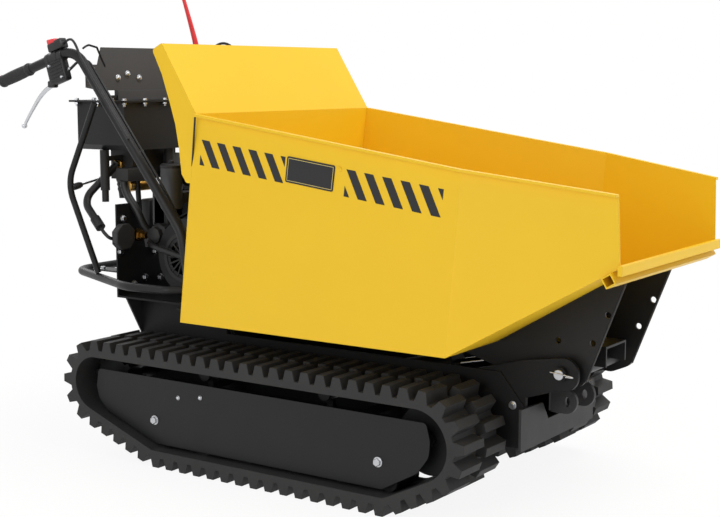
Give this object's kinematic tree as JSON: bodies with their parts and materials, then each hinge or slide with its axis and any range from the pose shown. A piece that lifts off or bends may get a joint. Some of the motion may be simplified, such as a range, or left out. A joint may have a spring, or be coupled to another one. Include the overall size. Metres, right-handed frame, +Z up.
{
  "type": "tracked mini dumper",
  "caption": "Walk-behind tracked carrier with a hydraulic tipping tray, lugged rubber tracks, rear handlebars and an open engine.",
  "frame": {"origin": "ground level below the middle of the machine", "axes": "+X forward, from the grips to the chute lip, +Y to the operator's left, +Z up"},
  "size_m": [1.79, 0.73, 1.15],
  "materials": {
    "track_rubber": "matte rubber",
    "grip_rubber": "matte rubber",
    "hose_rubber": "smooth black rubber",
    "valve_iron": "painted casting",
    "lever_metal": "forged, plated",
    "black_paint": "satin paint",
    "frame_paint": "satin grey paint",
    "panel_paint": "satin grey paint",
    "tray_yellow": "gloss yellow paint",
    "bright_steel": "zinc plated",
    "chrome_rod": "polished",
    "engine_alloy": "cast, natural",
    "engine_paint": "cast, grey",
    "gearbox_iron": "painted casting",
    "lever_red": "red plastic"
  },
  "bodies": {
    "chassis": {"track_left": "track_rubber", "track_right": "track_rubber", "side_guard_left": "black_paint", "side_guard_right": "black_paint", "track_frame_left": "frame_paint", "track_frame_right": "frame_paint", "drive_axle": "frame_paint", "tub_side_left": "frame_paint", "tub_side_right": "frame_paint", "tub_floor": "frame_paint", "engine_deck": "frame_paint", "tow_bracket": "frame_paint", "pivot_pin": "bright_steel", "handlebar_left": "black_paint", "handlebar_right": "black_paint", "grip_left": "grip_rubber", "grip_right": "grip_rubber", "stay_left": "black_paint", "stay_right": "black_paint", "bumper_hoop": "black_paint", "valve_block": "valve_iron", "supply_hose": "hose_rubber", "tipping_hose": "hose_rubber", "clutch_lever_left": "lever_metal", "clutch_lever_right": "lever_metal", "clutch_cable_left": "hose_rubber", "clutch_cable_right": "hose_rubber", "fuel_tank": "black_paint", "oil_tank": "black_paint", "control_panel": "panel_paint", "tipping_lever": "lever_red", "engine_block": "engine_alloy", "fan_housing": "engine_paint", "muffler": "engine_paint", "gearbox": "gearbox_iron"},
    "tray": {"tip_plate_left": "black_paint", "tip_plate_right": "black_paint", "tip_channel": "black_paint", "tray_wall_left": "tray_yellow", "tray_wall_right": "tray_yellow", "tray_floor": "tray_yellow", "tray_rear": "tray_yellow", "lip_tube": "tray_yellow"},
    "ram_barrel": {"cylinder_barrel": "black_paint"},
    "ram_rod": {"cylinder_rod": "chrome_rod"}
  },
  "joints": [
    {"name": "tray_tip", "type": "hinge", "parent": "chassis", "child": "tray", "pos_m": [0.71, 0, 0.313], "axis": [0, 1, 0], "range_deg": [0, 60]},
    {"name": "ram_swing", "type": "hinge", "parent": "chassis", "child": "ram_barrel", "pos_m": [-0.02, 0, 0.176], "axis": [0, -1, 0], "range_deg": [0, 11.56]},
    {"name": "rod_slide", "type": "slide", "parent": "ram_barrel", "child": "ram_rod", "axis": [0.9744, 0, 0.225], "range_m": [0, 0.1296]}
  ],
  "couplings": [
    {"joint": "ram_swing", "follows": "tray_tip", "ratio": 0.19184},
    {"joint": "rod_slide", "follows": "tray_tip", "m_per_rad": 0.12357}
  ]
}
